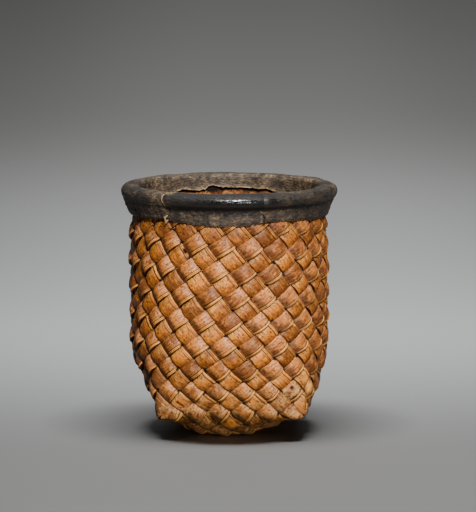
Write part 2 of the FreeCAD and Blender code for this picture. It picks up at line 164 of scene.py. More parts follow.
@dataclass
class NodeSheet:
    """A material's node tree, filled one node at a time."""

    name: str
    material: bpy.types.Material = field(init=False)
    shader: bpy.types.Node = field(init=False)

    def __post_init__(self) -> None:
        """Makes the material with its main shader and output."""
        self.material = bpy.data.materials.new(self.name)
        self.material.use_nodes = True
        self.shader = self.material.node_tree.nodes["Principled BSDF"]

    def add(self, kind: str, settings: Optional[Dict[str, object]] = None,
            **links: object) -> bpy.types.Node:
        """Adds a node with its settings, and sets or links its inputs.

        Args:
            kind: node type, without the leading ShaderNode.
            settings: properties of the node.
            links: input name, with _ for a space, or number after the letter i, to a
                value or to the output socket that feeds it.

        Returns:
            The new node.
        """
        node = self.material.node_tree.nodes.new("ShaderNode" + kind)
        for key, value in (settings or {}).items():
            setattr(node, key, value)
        for key, value in links.items():
            self.feed(node, key, value)
        return node

    def feed(self, node: bpy.types.Node, key: str, value: object) -> None:
        """Sets one input of a node to a value or to another node's output.

        Args:
            node: node whose input it is.
            key: input name, with _ for a space, or its number after the letter i.
            value: a number, vector, colour or output socket.
        """
        by_number = key[0] == "i" and key[1:].isdigit()
        socket = node.inputs[int(key[1:]) if by_number else key.replace("_", " ")]
        if isinstance(value, bpy.types.NodeSocket):
            self.material.node_tree.links.new(value, socket)
        else:
            socket.default_value = value

    def mix(self, factor: object, first: object, second: object, mode: str = "MIX") -> object:
        """Mixes two colours and returns the colour output.

        Args:
            factor: share of the second colour.
            first: colour at factor 0.
            second: colour at factor 1.
            mode: blend type.

        Returns:
            Output socket of the mixed colour.
        """
        settings = {"data_type": "RGBA", "blend_type": mode, "clamp_factor": True}
        return self.add("Mix", settings, i0=factor, i6=first, i7=second).outputs[2]

    def grade(self, value: object, low: float, high: float, bottom: float = 0.0,
              top: float = 1.0) -> object:
        """Smoothly maps a value's range low..high to bottom..top.

        Args:
            value: output socket to grade.
            low: value that gives bottom.
            high: value that gives top.
            bottom: result at low.
            top: result at high.

        Returns:
            Output socket of the graded value.
        """
        settings = {"interpolation_type": "SMOOTHSTEP"}
        return self.add("MapRange", settings, Value=value, From_Min=low, From_Max=high,
                        To_Min=bottom, To_Max=top).outputs[0]

    def maths(self, operation: str, first: object, second: object = 0.0) -> object:
        """One arithmetic step on two values.

        Args:
            operation: name of the step, such as MULTIPLY.
            first: first value.
            second: second value.

        Returns:
            Output socket of the result.
        """
        return self.add("Math", {"operation": operation}, i0=first, i1=second).outputs[0]

    def mark(self, name: str) -> object:
        """Output socket of one of the mesh's named numbers."""
        return self.add("Attribute", {"attribute_name": name}).outputs["Fac"]

    def noise(self, where: object, grain_mm: Sequence[float], detail: float = 3.0,
              roughness: float = 0.55) -> object:
        """Noise whose grain has a real size.

        Args:
            where: coordinates in metres.
            grain_mm: size of one grain along each coordinate, in millimetres.
            detail: octaves of finer grain.
            roughness: strength of the finer octaves.

        Returns:
            Output socket of the noise, about 0.3 to 0.7.
        """
        scale = [1 / (size * MM) for size in grain_mm]
        grid = self.add("Mapping", {"vector_type": "POINT"}, Vector=where, Scale=scale)
        return self.add("TexNoise", Vector=grid.outputs[0], Scale=1.0, Detail=detail,
                        Roughness=roughness).outputs["Fac"]

    def places(self) -> Tuple[object, object]:
        """Coordinates that the patterns read.

        Returns:
            Output sockets of the object coordinates and of the unrolled skin.
        """
        object_places = self.add("TexCoord").outputs["Object"]
        skin_places = self.add("UVMap", {"uv_map": "unrolled"}).outputs["UV"]
        return object_places, skin_places


# Finishes


@dataclass(frozen=True)
class PalmLeafFinish:
    """Folded palm leaf, dried and darkened by handling.

    To the eye: the strips that climb to the right are orange tan, the others are amber.
    Each crossing has painted shade at its lower end and a painted highlight at its upper
    end, pinkish on the tan strips. Fine fibres run along and the folded ribs are pale.
    Shade is painted nearly black in the crevices and under the rim, and darker on the sides.
    """

    name: str
    # Of the next six colours, the first and fourth are painted shade for the lower end of each crossing,
    # the third and sixth a painted highlight for its upper end.
    tan_painted_shade: str = "#563A28"
    tan: str = "#CC7834"
    tan_painted_highlight: str = "#E49A66"
    amber_painted_shade: str = "#A25C28"
    amber: str = "#D87C24"
    amber_painted_highlight: str = "#DE984C"
    stain: str = "#6A3816"
    fold: str = "#F6A850"
    # Dark brown of the fibres, specks and veins, also used for painted shadow in the grooves and in dark
    # scars.
    shade: str = "#301404"
    # Painted shade, nearly black, in the crevices and under the rim leather.
    crevice_painted_shade: str = "#120703"
    bare_foot: str = "#C8965C"
    fibre_mm: float = 0.8
    fibre_length_mm: float = 12.0
    blotch_mm: float = 5.0
    speck_mm: float = 1.5
    vein_mm: float = 2.2
    roughness: float = 0.52
    fibre_depth_mm: float = 0.12

    def make(self) -> bpy.types.Material:
        """Builds the material.

        Returns:
            The material.
        """
        sheet = NodeSheet(self.name)
        places, skin = sheet.places()
        fibres = sheet.noise(skin, (self.fibre_length_mm, self.fibre_mm, 1), 2.0)
        bands = sheet.noise(skin, (self.fibre_length_mm * 2, self.fibre_mm * 4, 1), 2.0)
        blotches = sheet.noise(places, [self.blotch_mm] * 3, 4.0)
        specks = sheet.noise(places, [self.speck_mm] * 3, 3.0, 0.7)
        veins = sheet.noise(skin, (self.vein_mm * 3, self.vein_mm, 1), 3.0)
        veins = sheet.maths("ABSOLUTE", sheet.maths("SUBTRACT", veins, 0.5))
        tone, crown, slash = sheet.mark("tone"), sheet.mark("crown"), sheet.mark("slash")
        fold, groove, foot = sheet.mark("fold"), sheet.mark("groove"), sheet.mark("foot")
        climb = sheet.maths("ADD", sheet.mark("climb"), sheet.grade(blotches, 0.3, 0.7, -0.16, 0.16))
        mood = sheet.maths("ADD", blotches, sheet.maths("MULTIPLY", tone, 0.6))
        mood = sheet.maths("ADD", mood, sheet.maths("MULTIPLY", bands, 0.25))
        body = sheet.mix(slash, srgb(self.amber), srgb(self.tan))
        # Painted shade for the lower end of each crossing and a painted highlight for its upper end, as
        # if lit from above.
        low = sheet.mix(slash, srgb(self.amber_painted_shade), srgb(self.tan_painted_shade))
        high = sheet.mix(slash, srgb(self.amber_painted_highlight), srgb(self.tan_painted_highlight))
        colour = sheet.mix(sheet.grade(climb, 0.46, 0.14, 0.0, 0.85), body, low)
        colour = sheet.mix(sheet.grade(climb, 0.56, 0.86, 0.0, 0.8), colour, high)
        colour = sheet.mix(sheet.grade(mood, 0.98, 0.62, 0.0, 0.85), colour, srgb(self.stain))
        bare = sheet.maths("MULTIPLY", foot, sheet.grade(blotches, 0.36, 0.6))
        colour = sheet.mix(sheet.maths("MULTIPLY", bare, 0.75), colour, srgb(self.bare_foot))
        # Dirt and painted shadow towards the rim, and painted shade on the sides that turn away from the
        # lights.
        soiled_and_shaded = sheet.maths("MULTIPLY", sheet.mark("grime_and_painted_shade"),
                             sheet.grade(blotches, 0.62, 0.38, 0.3, 0.8))
        colour = sheet.mix(soiled_and_shaded, colour, srgb(self.stain))
        scuffs = sheet.maths("MULTIPLY", sheet.grade(bands, 0.45, 0.34), sheet.grade(specks, 0.45, 0.58))
        colour = sheet.mix(sheet.maths("MULTIPLY", scuffs, 0.4), colour, srgb(self.fold))
        pale = sheet.maths("MULTIPLY", fold, sheet.grade(blotches, 0.34, 0.56, 0.5, 1.0))
        streaks = sheet.maths("MULTIPLY", sheet.grade(fibres, 0.52, 0.66), 0.5)
        colour = sheet.mix(streaks, colour, srgb(self.shade))
        glints = sheet.maths("MULTIPLY", sheet.grade(fibres, 0.46, 0.34), 0.16)
        colour = sheet.mix(glints, colour, srgb(self.fold))
        dots = sheet.maths("MULTIPLY", sheet.grade(specks, 0.52, 0.66), 0.8)
        colour = sheet.mix(dots, colour, srgb(self.shade))
        lines = sheet.maths("MULTIPLY", sheet.grade(veins, 0.03, 0.006),
                            sheet.grade(blotches, 0.42, 0.54))
        colour = sheet.mix(sheet.maths("MULTIPLY", lines, 0.85), colour, srgb(self.shade))
        colour = sheet.mix(pale, colour, srgb(self.fold))
        # Painted shadow in the grooves between ribs, along the strips' lower edges and in dark scars.
        colour = sheet.mix(groove, colour, srgb(self.shade))
        # Painted shade where strips dive under each other and at the corners of the crossings.
        colour = sheet.mix(sheet.grade(crown, 0.62, 0.36), colour, srgb(self.crevice_painted_shade))
        # Painted shadow under the rim leather, on the tops of the strips.
        colour = sheet.mix(sheet.mark("painted_rim_shadow"), colour, srgb(self.crevice_painted_shade))
        height = sheet.maths("ADD", fibres, sheet.maths("MULTIPLY", specks, 0.8))
        height = sheet.maths("ADD", height, sheet.maths("MULTIPLY", bands, 1.5))
        height = sheet.maths("ADD", height, sheet.grade(veins, 0.0, 0.04, 0.0, 0.5))
        bump = sheet.add("Bump", Height=height, Distance=self.fibre_depth_mm * MM, Strength=1.0)
        sheet.feed(sheet.shader, "Base_Color", colour)
        sheet.feed(sheet.shader, "Normal", bump.outputs[0])
        rough = sheet.grade(blotches, 0.35, 0.65, self.roughness - 0.1, self.roughness + 0.12)
        sheet.feed(sheet.shader, "Roughness", rough)
        sheet.shader.inputs["Specular IOR Level"].default_value = 0.22
        return sheet.material


@dataclass(frozen=True)
class RimHideFinish:
    """Old hide, sewn on wet, then blackened and polished by hands.

    To the eye: near-black brown with a grey dusty bloom, brown rubs on the roll, a
    gloss where hands hold it, fine creases across, and pale raw cut edges.
    """

    name: str
    hide: str = "#0D0A08"
    rubbed: str = "#3A2E22"
    dust: str = "#685642"
    raw: str = "#B49468"
    pore_mm: float = 1.0
    crease_mm: float = 2.4
    dull: float = 0.62
    polished: float = 0.13

    def make(self) -> bpy.types.Material:
        """Builds the material.

        Returns:
            The material.
        """
        sheet = NodeSheet(self.name)
        places, skin = sheet.places()
        patches = sheet.noise(places, [5.5] * 3, 5.0, 0.7)
        pores = sheet.noise(places, [self.pore_mm] * 3, 3.0)
        creases = sheet.noise(skin, (self.crease_mm * 3, self.crease_mm, 1), 2.5, 0.5)
        worms = sheet.maths("ABSOLUTE", sheet.maths("SUBTRACT", creases, 0.5))
        polish, raw, dust = sheet.mark("polish"), sheet.mark("raw"), sheet.mark("dust")
        brown = sheet.maths("MULTIPLY", sheet.grade(patches, 0.36, 0.66),
                            sheet.grade(dust, 0.1, 0.7, 0.05, 1.0))
        colour = sheet.mix(brown, srgb(self.hide), srgb(self.rubbed))
        bloom = sheet.maths("MULTIPLY", dust, sheet.grade(worms, 0.08, 0.0, 0.3, 1.0))
        bloom = sheet.maths("MULTIPLY", bloom, sheet.grade(patches, 0.3, 0.68, 0.2, 0.9))
        colour = sheet.mix(sheet.maths("MULTIPLY", bloom, 0.8), colour, srgb(self.dust))
        scuffs = sheet.maths("MULTIPLY", sheet.maths("MULTIPLY", dust, sheet.grade(worms, 0.03, 0.004)),
                             sheet.grade(patches, 0.46, 0.62, 0.0, 0.28))
        colour = sheet.mix(scuffs, colour, srgb(self.raw))
        edge = sheet.maths("MULTIPLY", raw, sheet.grade(pores, 0.35, 0.55))
        colour = sheet.mix(edge, colour, srgb(self.raw))
        gloss = sheet.grade(polish, 0.0, 1.0, self.dull, self.polished)
        sheet.shader.inputs["Specular IOR Level"].default_value = 0.42
        rough = sheet.maths("ADD", gloss, sheet.grade(pores, 0.4, 0.66, -0.03, 0.3))
        height = sheet.maths("ADD", sheet.maths("MULTIPLY", worms, -2.4),
                             sheet.maths("MULTIPLY", pores, 0.4))
        strength = sheet.grade(polish, 0.0, 1.0, 1.0, 0.35)
        bump = sheet.add("Bump", Height=height, Distance=0.4 * MM, Strength=strength)
        sheet.feed(sheet.shader, "Base_Color", colour)
        sheet.feed(sheet.shader, "Roughness", rough)
        sheet.feed(sheet.shader, "Normal", bump.outputs[0])
        return sheet.material


@dataclass(frozen=True)
class PlainFinish:
    """A plain dry surface with a little grain, for what hardly shows.

    To the eye: one colour with a soft mottle of the given grain, and no gloss.
    """

    name: str
    light: str
    dark: str
    grain_mm: Tuple[float, float, float]
    roughness: float

    def make(self) -> bpy.types.Material:
        """Builds the material.

        Returns:
            The material.
        """
        sheet = NodeSheet(self.name)
        grain = sheet.noise(sheet.add("TexCoord").outputs["Object"], self.grain_mm, 4.0)
        colour = sheet.mix(sheet.grade(grain, 0.35, 0.65), srgb(self.dark), srgb(self.light))
        bump = sheet.add("Bump", Height=grain, Distance=0.1 * MM, Strength=0.5)
        sheet.feed(sheet.shader, "Base_Color", colour)
        sheet.feed(sheet.shader, "Normal", bump.outputs[0])
        sheet.shader.inputs["Roughness"].default_value = self.roughness
        return sheet.material


# Plaited body


@dataclass(frozen=True)
class PlaitShape:
    """Middle surface of the plait, in millimetres and plait cells.

    The base is a mat of two crossing sets of strips, cut along its diagonals into
    front_cells by side_cells cells, and past each edge it turns up into the wall.
    """

    front_cells: int = 6
    side_cells: int = 5
    base_half_width: float = 52.0
    base_half_depth: float = 50.0
    side_bow: float = 0.04
    front_bow: float = 0.06
    base_turn: float = -2.9
    base_shift: float = 4.0
    foot_height: float = 1.475
    base_edge_height: float = 21.6
    foot_shares: Tuple[float, float] = (0.12, 0.38)
    foot_lean: float = 0.12
    bowl_power: float = 1.8
    corner_sag: float = 3.5
    left_corner_sag: float = 2.8
    wall_radius: float = 66.7
    mouth_inset: float = 0.9
    mouth_rows: float = 6.56
    round_rows: float = 2.5
    round_power: float = 1.2
    row_rise: float = 17.8
    row_squash: float = 8.6
    squash_rows: float = 2.65
    row_tilt: float = 1.2
    level_rows: float = 3.0
    row_twist: float = 4.0
    twist_rows: float = 1.8
    twist_ease_rows: float = 0.8
    strip_top: float = 170.8

    @property
    def round_cells(self) -> int:
        """Cells round the wall."""
        return 2 * (self.front_cells + self.side_cells)

    def base_plan(self, right: Array, back: Array) -> Tuple[Array, Array]:
        """Plan of the base, bowed in at its corners and turned under the walls.

        Args:
            right: -1 at the left edge to 1 at the right edge.
            back: -1 at the front edge to 1 at the back edge.

        Returns:
            X and Y in millimetres.
        """
        x = self.base_half_width * right * (1 - self.side_bow * back**2)
        y = self.base_half_depth * back * (1 - self.front_bow * right**2)
        turn = math.radians(self.base_turn)
        turned_x = x * math.cos(turn) - y * math.sin(turn)
        return turned_x + self.base_shift, x * math.sin(turn) + y * math.cos(turn)

    def base_points(self, along: Array, across: Array) -> Array:
        """The flat foot, which curves up to the edges: u + v joined as (u+v-2uv)/(1-uv).

        Args:
            along: plait cells from the left edge.
            across: plait cells from the front edge.

        Returns:
            Points in millimetres.
        """
        right, back = 2 * along / self.front_cells - 1, 2 * across / self.side_cells - 1
        leaning = right + self.foot_lean * (1 - right**2)
        rise = [np.clip((np.abs(reach) - share) / (1 - share), 0, 1) ** self.bowl_power
                for reach, share in zip((leaning, back), self.foot_shares)]
        below = (1 - rise[0]) * (1 - rise[1])
        lift = 1 - below / np.maximum(1 - rise[0] * rise[1], 1e-9)
        x, y = self.base_plan(right, back)
        height = self.foot_height + (self.base_edge_height - self.foot_height) * lift
        sag = self.corner_sag + self.left_corner_sag * (1 - right) * (1 - back) / 4
        return np.stack([x, y, height - sag * np.abs(right * back) ** 3], -1)

    def base_outline(self, place: Array) -> Tuple[Array, Array]:
        """Plan of the base's edge, counted in cells from the front left corner.

        Args:
            place: plait cells round the basket, anticlockwise from above.

        Returns:
            X and Y in millimetres.
        """
        front, side = self.front_cells, self.side_cells
        place = np.mod(place, self.round_cells)
        corners = [0, front, front + side, 2 * front + side, self.round_cells]
        right = np.interp(place, corners, [-1, 1, 1, -1, -1])
        back = np.interp(place, corners, [-1, -1, 1, 1, -1])
        return self.base_plan(right, back)

    def wall_points(self, place: Array, row: Array) -> Array:
        """The wall: square at the base, round above, each row turned on the one below.

        Args:
            place: plait cells round the basket.
            row: rows above the edge of the base.

        Returns:
            Points in millimetres.
        """
        roundness = 1 - np.clip(1 - row / self.round_rows, 0, 1) ** self.round_power
        drawn = np.clip(row - self.mouth_rows, 0, 1)
        radius = self.wall_radius - self.mouth_inset * (1 - np.cos(np.pi * drawn)) / 2
        eased = [(np.hypot(rows, self.twist_ease_rows) + rows) / 2
                 for rows in (row - self.twist_rows, -self.twist_rows)]
        twist = self.row_twist * (eased[0] - eased[1])
        turn = np.radians((place - self.front_cells / 2) * 360 / self.round_cells + twist)
        x, y = self.base_outline(place)
        x = x + (radius * np.sin(turn) - x) * roundness
        y = y + (-radius * np.cos(turn) - y) * roundness
        squash = self.row_squash * (1 - np.exp(-row / self.squash_rows))
        tilt = self.row_tilt * np.clip(row - self.level_rows, 0, None) * np.sin(turn)
        height = self.base_edge_height + self.row_rise * row - squash - tilt
        side_way = np.mod(place, self.front_cells + self.side_cells)
        corner = np.minimum(np.abs(side_way - self.front_cells),
                            np.minimum(side_way, self.front_cells + self.side_cells - side_way))
        from_left = np.abs(np.mod(place + self.round_cells / 2, self.round_cells) - self.round_cells / 2)
        sag = self.corner_sag + self.left_corner_sag * np.clip(1 - from_left / self.front_cells, 0, 1)
        sag = sag * np.exp(-(row / 0.9) ** 2) * np.clip(1 - 0.36 * corner, 0, 1) ** 3
        return np.stack([x, y, height - sag], -1)

    def points(self, first: Array, second: Array, wall: str) -> Array:
        """Points at mat coordinates, on the base or on the wall that a strip climbs.

        Args:
            first: coordinate along the warp strips.
            second: coordinate along the weft strips.
            wall: front, right, back or left.

        Returns:
            Points in millimetres.
        """
        along, across = (first - second) / 2, (first + second) / 2
        base = self.base_points(along, across)
        place, row = {
            "front": (along, -across),
            "right": (self.front_cells + across, along - self.front_cells),
            "back": (self.front_cells + self.round_cells / 2 - along, across - self.side_cells),
            "left": (-across, -along),
        }[wall]
        wall_points = self.wall_points(place, np.clip(row, 0, None))
        return np.where((row > 0)[..., None], wall_points, base)

    def normals(self, first: Array, second: Array, wall: str, step: float = 0.08) -> Array:
        """Outward unit normals, from the points one step away each way.

        Args:
            first: coordinate along the warp strips.
            second: coordinate along the weft strips.
            wall: front, right, back or left.
            step: plait cells between the points.

        Returns:
            Unit vectors.
        """
        ahead = self.points(first + step, second, wall) - self.points(first - step, second, wall)
        aside = self.points(first, second + step, wall) - self.points(first, second - step, wall)
        normal = np.cross(aside, ahead)
        return normal / np.linalg.norm(normal, axis=-1, keepdims=True)


class Direction(Enum):
    """The two sets of strips."""

    WARP = "warp"
    WEFT = "weft"


# Section of a folded strip, from its plain edge at -1 to its folded edge at 1:
# place across the strip, height over the strip's face in mm, paleness, groove (strength of the painted
# shadow in the groove or at the edge)
STRIP_SECTION = np.array([
    (-1.00, -0.90, 0.0, 0.9), (-0.97, -0.42, 0.1, 0.6), (-0.91, -0.10, 0.1, 0.0),
    (-0.76, 0.16, 0.0, 0.0), (-0.54, 0.34, 0.0, 0.0), (-0.28, 0.44, 0.0, 0.0),
    (0.00, 0.46, 0.0, 0.0), (0.26, 0.42, 0.0, 0.0), (0.48, 0.36, 0.1, 0.0),
    (0.58, 0.28, 0.1, 0.2), (0.62, 0.02, 0.0, 1.0), (0.65, -0.04, 0.0, 1.0),
    (0.68, 0.20, 0.5, 0.4), (0.72, 0.40, 1.0, 0.0), (0.76, 0.40, 1.0, 0.0),
    (0.79, 0.16, 0.5, 0.4), (0.815, -0.06, 0.0, 1.0), (0.84, 0.14, 0.5, 0.4),
    (0.875, 0.36, 1.0, 0.0), (0.92, 0.32, 1.0, 0.0), (0.96, 0.02, 0.4, 0.3), (1.00, -0.90, 0.1, 1.0),
])
# The same strip without its ribs: place across and height
SMOOTH_SECTION = np.array([(-1.0, -0.90), (-0.97, -0.42), (-0.91, -0.10), (-0.76, 0.16), (-0.54, 0.34),
                           (-0.28, 0.44), (0.0, 0.46), (0.26, 0.42), (0.5, 0.34), (0.7, 0.28),
                           (0.88, 0.2), (0.96, -0.08), (1.0, -0.90)])
# Groove between the two ribs, across the strip: middle, half width, half width of its floor
RIB_GROOVE = (0.815, 0.05, 0.02)


@dataclass(frozen=True)
class Scar:
    """A worn hole, slit or rub in a strip.

    Its place and half length along the strip are in cells, its place and half width
    across the strip in half widths, and its depth in millimetres. A bald one has lost
    the leaf's skin and ribs round it. A dark one has painted shade in its hollow, and one
    that isn't dark shows pale fibres.
    """

    strip: str
    ahead: float
    across: float
    length: float
    width: float
    depth: float = 1.6
    bald: bool = False
    dark: float = 1.0

    def dent(self, ahead: Array, across: Array, spread: float = 1.0) -> Array:
        """1 in the scar's ellipse, fading to 0 outside: exp(-r^4).

        Args:
            ahead: coordinates along the strip.
            across: places across the strip.
            spread: how many times larger than the scar the ellipse is.

        Returns:
            Numbers from 0 to 1.
        """
        reach = ((ahead - self.ahead) / self.length) ** 2 + ((across - self.across) / self.width) ** 2
        return np.exp(-(reach / spread**2) ** 2)


SCARS = (
    Scar("weft_strip_05", -6.58, -0.40, 0.12, 0.27, 1.8, True),
    Scar("warp_strip_05", 0.50, -0.25, 0.30, 0.09),
    Scar("weft_strip_05", -6.30, 0.62, 0.22, 0.08),
    Scar("warp_strip_02", -8.10, 0.85, 0.14, 0.22),
    Scar("weft_strip_07", -18.50, 0.85, 0.16, 0.20),
    Scar("warp_strip_03", -7.15, 0.90, 0.14, 0.22),
    Scar("weft_strip_06", -7.40, -0.50, 0.25, 0.35, 0.5, dark=0.0),
    Scar("weft_strip_08", -7.40, 0.30, 0.25, 0.40, 0.4, dark=0.0),
)


@dataclass
class LeafStrip:
    """One strip of folded leaf, up a wall, across the base and up another wall."""

    shape: PlaitShape
    direction: Direction
    number: int
    seed: int
    width_share: float = 0.955
    half_thickness: float = 0.6
    swing: float = 1.5
    bound_swing: float = 0.7
    bound_height: Tuple[float, float] = (146.0, 157.0)
    samples: int = 20
    edge_wander: float = 0.03
    trim: float = 2.8
    arch: float = 0.75
    proud: float = 0.35
    shingle: float = 0.55
    corner_tightness: float = 0.5
    ground_gap: float = 0.02

    @property
    def name(self) -> str:
        """Name of the CAD node that the strip stands for."""
        return f"{self.direction.value}_strip_{self.number:02d}"

    @property
    def mat_number(self) -> int:
        """Cell number of the strip across the mat."""
        is_warp = self.direction is Direction.WARP
        return self.number - 1 - (self.shape.front_cells if is_warp else 0)

    def end_walls(self) -> Tuple[str, str]:
        """The walls that the strip's two ends climb."""
        middle, shape = self.mat_number + 0.5, self.shape
        if self.direction is Direction.WARP:
            last = "right" if middle < shape.side_cells - shape.front_cells else "back"
            return ("front" if middle < 0 else "left"), last
        last = "left" if middle < shape.side_cells else "back"
        return ("front" if middle < shape.front_cells else "right"), last

    def turning_place(self) -> float:
        """Middle of the strip's stretch of base, along the strip."""
        middle, shape = self.mat_number + 0.5, self.shape
        long, deep = 2 * shape.front_cells, 2 * shape.side_cells
        if self.direction is Direction.WARP:
            return (abs(middle) + min(middle + long, deep - middle)) / 2
        return (max(-middle, middle - long) + min(middle, deep - middle)) / 2

    def on_mat(self, ahead: Array, aside: Array) -> Tuple[Array, Array]:
        """Mat coordinates of places along and across the strip.

        Args:
            ahead: coordinate along the strip.
            aside: coordinate across the strip.

        Returns:
            First and second mat coordinates.
        """
        return (ahead, aside) if self.direction is Direction.WARP else (aside, ahead)

    def reach(self, step: int, wall: str) -> float:
        """Where the strip ends along its length, under the rim.

        Args:
            step: -1 for its first end and 1 for its last.
            wall: the wall that this end climbs.

        Returns:
            Coordinate along the strip.
        """
        places = self.turning_place() + step * np.arange(3, 60, 0.05)
        axis = self.on_mat(places, np.full(len(places), self.mat_number + 0.5))
        above = self.shape.points(*axis, wall)[:, 2] > self.shape.strip_top - self.trim
        return float(places[np.nonzero(above)[0][0]])

    def slant(self, ahead: Array) -> Array:
        """1 where the strip climbs to the right, seen from outside, and -1 to the left.

        Args:
            ahead: coordinate along the strip.

        Returns:
            Numbers from -1 to 1.
        """
        to_right = ("left", "right") if self.direction is Direction.WARP else ("front", "back")
        first, last = (1.0 if wall in to_right else -1.0 for wall in self.end_walls())
        turn = smooth(ahead, self.turning_place() - 0.5, self.turning_place() + 0.5)
        return first + (last - first) * turn

    def weave_height(self, ahead: Array) -> Array:
        """1 where the strip is outermost and -1 where it is innermost: a full cosine.

        Args:
            ahead: coordinate along the strip.

        Returns:
            Numbers from -1 to 1.
        """
        sign = 1 if self.mat_number % 2 == 0 else -1
        if self.direction is Direction.WEFT:
            sign = -sign
        wave = sign * np.cos(np.pi * (ahead - 0.5))
        return wave * (1.22 - 0.22 * wave**2)

    def folded_side(self, ahead: Array) -> Array:
        """Side of the strip that has the folded edge: it changes over under the base.

        Args:
            ahead: coordinate along the strip.

        Returns:
            Numbers from -1 to 1.
        """
        turn = smooth(ahead, self.turning_place() - 0.5, self.turning_place() + 0.5) * 2 - 1
        return turn if self.direction is Direction.WARP else -turn

    def cell_tones(self, ahead: Array) -> Array:
        """One random tone for each crossing, constant over it.

        Args:
            ahead: coordinate along the strip.

        Returns:
            Numbers from -0.5 to 0.5.
        """
        tones = np.random.default_rng(self.seed).uniform(-0.5, 0.5, 128)
        return tones[(np.floor(ahead).astype(int) + 40) % 128]

    def height_in_cell(self, ahead: Array) -> Array:
        """0 at the lower end of each crossing and 1 at its upper end.

        Args:
            ahead: coordinate along the strip.

        Returns:
            Numbers from 0 to 1.
        """
        part = ahead - np.floor(ahead)
        return np.where(ahead > self.turning_place(), part, 1 - part)

    def build(self) -> bpy.types.Object:
        """Builds the strip's skin: its section carried along the plait's surface.

        A point is the middle surface's point at its mat coordinates, moved along the
        normal by the weave's swing, the arch of the strip and its section's height.

        Returns:
            The new object.
        """
        first_wall, last_wall = self.end_walls()
        start, end = self.reach(-1, first_wall), self.reach(1, last_wall)
        ahead = np.linspace(start, end, int((end - start) * self.samples) + 1)
        section = np.concatenate([STRIP_SECTION, STRIP_SECTION[::-2] * (1, 0, 0, 0)])
        is_face = np.arange(len(section)) < len(STRIP_SECTION)
        across = section[None, :, 0]
        weave, slant = self.weave_height(ahead)[:, None], self.slant(ahead)[:, None]
        wander = self.edge_wander * lattice_noise(ahead * 0.9, self.number * 3.7, self.seed)
        rib_wander = 0.04 * lattice_noise(ahead * 0.7, 5.3, self.seed + 7)[:, None]
        shifted = across + rib_wander * np.clip(1 - ((across - 0.76) / 0.23) ** 2, 0, 1)
        axis = self.on_mat(ahead, np.full(len(ahead), self.mat_number + 0.5))
        axis_height = np.where(ahead < self.turning_place(), self.shape.points(*axis, first_wall)[:, 2],
                               self.shape.points(*axis, last_wall)[:, 2])
        spread = self.width_share / 2 * (1 + 0.035 * lattice_noise(ahead * 1.1, 7.1, self.seed)
                                         + 0.03 * slant[:, 0]
                                         + 0.06 * smooth(axis_height, 52, 24))
        aside = (self.mat_number + 0.5 + wander[:, None]
                 + shifted * np.where(self.folded_side(ahead)[:, None] >= 0, 1, -1) * spread[:, None])
        grid_ahead = np.broadcast_to(ahead[:, None], aside.shape)
        mat = self.on_mat(grid_ahead, aside)
        is_first = (grid_ahead < self.turning_place())[..., None]
        points = np.where(is_first, self.shape.points(*mat, first_wall),
                          self.shape.points(*mat, last_wall))
        normals = np.where(is_first, self.shape.normals(*mat, first_wall),
                           self.shape.normals(*mat, last_wall))
        loose = smooth(points[..., 2], self.bound_height[1], self.bound_height[0])
        plain = np.interp(across, SMOOTH_SECTION[:, 0], SMOOTH_SECTION[:, 1])
        ribs = self.rib_strength(ahead)[:, None]
        joined = self.filled_groove(ahead, across)
        relief = plain + (section[None, :, 1] - plain) * ribs + 0.5 * joined * ribs
        crest = 1 - ((across - 0.3 * slant) / 1.3) ** 2
        barrel = self.arch * (1 + 0.4 * slant) * np.clip(weave, 0, None) * crest
        lumps = 0.13 * lattice_noise(grid_ahead * 4, aside * 6, self.seed + 1)
        dents = 0.22 * lattice_noise(grid_ahead * 1.7, aside * 2.1, self.seed + 2)
        barrel = barrel * (1 - 0.6 * smooth(points[..., 2], 34, 18))
        outer = self.half_thickness + (relief + barrel + lumps + dents) * (0.35 + 0.65 * loose)
        for scar in self.scars():
            outer = outer - scar.depth * scar.dent(ahead[:, None], across)
        inner = -self.half_thickness * (1 - 0.75 * np.abs(across) ** 3) + 0 * outer
        swing = self.bound_swing + (self.swing - self.bound_swing) * loose
        tight = 1 - self.corner_tightness * np.exp(-((points[..., 2] - 17) / 11) ** 2)
        swing = swing * tight * (1 + 0.2 * self.cell_tones(ahead + 3)[:, None])
        proud = slant * (self.proud + self.shingle * across) * np.clip(weave, 0, None) * loose
        rings = points + normals * (swing * weave + proud + np.where(is_face, outer, inner))[..., None]
        heights = np.clip(rings[..., 2:], self.ground_gap, self.shape.strip_top)
        rings = np.concatenate([rings[..., :2], heights], -1) * MM
        order = slice(None)
        if self.flips_skin(rings):
            rings, order = rings[:, ::-1], slice(None, None, -1)
        marks = self.marks(ahead, section, is_face, weave, points, ribs)
        self.mark_scars(marks, ahead, across, is_face)
        steps = np.linalg.norm(np.diff(rings.mean(1), axis=0), axis=1)
        length = np.concatenate([[0], np.cumsum(steps)])
        places = np.stack([np.broadcast_to(length[:, None], aside.shape) + self.number,
                           across * 6 * MM + 0 * aside], -1)
        return sleeve_mesh(f"leaf_{self.name}", rings, places[:, order],
                           {key: value[:, order] for key, value in marks.items()})

    def scars(self) -> List[Scar]:
        """The holes and slits of this strip."""
        return [scar for scar in SCARS if scar.strip == self.name]

    def mark_scars(self, marks: Dict[str, Array], ahead: Array, across: Array,
                   is_face: Array) -> None:
        """Adds the scars to the marks: painted shade or pale fibres in them, pale fibres round them.

        Args:
            marks: the strip's marks, which are changed.
            ahead: coordinate along the strip, one for each ring.
            across: places across the strip.
            is_face: True on the section's outer face.
        """
        for scar in self.scars():
